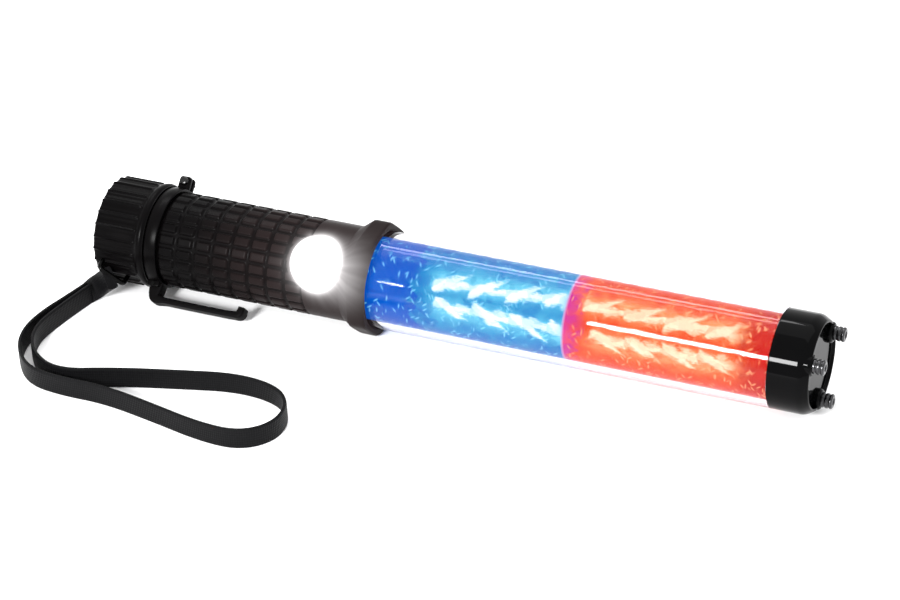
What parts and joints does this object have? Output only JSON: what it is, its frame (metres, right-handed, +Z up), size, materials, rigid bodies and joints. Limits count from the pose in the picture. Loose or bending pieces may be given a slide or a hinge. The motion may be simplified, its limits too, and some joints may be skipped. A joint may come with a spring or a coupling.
{
  "type": "signal flashlight",
  "caption": "Round battery flashlight with a side light, a belt hook on a turning ring, a wrist strap, an octagonal collar and a clear tube lit blue and red.",
  "frame": {"origin": "centre of the collar's bottom flat, on the surface that the flashlight lies on", "axes": "+X along the flashlight's axis towards the steel studs, +Z up, and the side light faces -Y and up"},
  "size_m": [0.3235, 0.1206, 0.045],
  "materials": {
    "grip_plastic": "moulded satin black",
    "gloss_black": "gloss black",
    "clear_plastic": "clear moulded",
    "blue_plastic": "translucent blue",
    "red_plastic": "translucent red",
    "steel": "bright",
    "brass": "plated",
    "rubber": "matte",
    "inner_plastic": "moulded",
    "board_laminate": "solder mask",
    "lamp_blue": "lit",
    "lamp_red": "lit",
    "lamp_white": "lit",
    "reflector_metal": "bright metallised",
    "heat_sink_aluminium": "machined",
    "cell_wrap": "plain wrapper",
    "webbing": "woven black"
  },
  "bodies": {
    "handle": {"handle_body": "grip_plastic", "inner_chassis": "inner_plastic", "front_contact": "brass", "circuit_board": "board_laminate", "board_components": "inner_plastic", "tact_switch": "inner_plastic", "button_collar": "inner_plastic", "side_light_bezel": "gloss_black", "side_light_lens": "clear_plastic", "side_light_reflector": "reflector_metal", "side_led_board": "board_laminate", "side_led": "lamp_white", "heat_sink": "heat_sink_aluminium", "collar": "grip_plastic", "collar_seal": "rubber", "signal_tube": "clear_plastic", "blue_liner": "blue_plastic", "red_liner": "red_plastic", "lamp_board": "board_laminate", "blue_lamps": "lamp_blue", "red_lamps": "lamp_red", "end_cap": "gloss_black", "breaker_studs": "steel", "board_holder": "inner_plastic", "battery_holder": "inner_plastic", "holder_contacts": "brass", "battery_cell_1": "cell_wrap", "battery_cell_2": "cell_wrap", "battery_cell_3": "cell_wrap", "tail_cap_oring": "rubber"},
    "tail_contact": {"tail_contact_plate": "steel", "tail_spring": "steel"},
    "tail_cap": {"tail_cap": "grip_plastic", "strap_bail": "steel", "strap_sleeve": "webbing", "wrist_strap": "webbing"},
    "clip": {"clip_ring": "grip_plastic", "belt_hook": "grip_plastic", "hook_rivet": "steel", "clamp_screw": "steel", "clamp_nut": "steel"},
    "button": {"mode_button": "rubber"}
  },
  "joints": [
    {"name": "tail_contact_slide", "type": "slide", "parent": "handle", "child": "tail_contact", "axis": [-1, 0, 0], "range_m": [0, 0.006]},
    {"name": "tail_cap_turn", "type": "hinge", "parent": "tail_contact", "child": "tail_cap", "pos_m": [-0.105, 0, 0.0225], "axis": [-1, 0, 0], "range_deg": [0, 1080.5]},
    {"name": "clip_turn", "type": "hinge", "parent": "handle", "child": "clip", "pos_m": [-0.0921, 0, 0.0225], "axis": [1, 0, 0], "continuous": true},
    {"name": "mode_button_press", "type": "slide", "parent": "handle", "child": "button", "axis": [0, -0.766, 0.6428], "range_m": [0, 0.001], "stiffness_N_per_m": 800, "springref_m": -0.0005}
  ],
  "couplings": [
    {"joint": "tail_cap_turn", "follows": "tail_contact_slide", "rad_per_m": 3141.6}
  ]
}
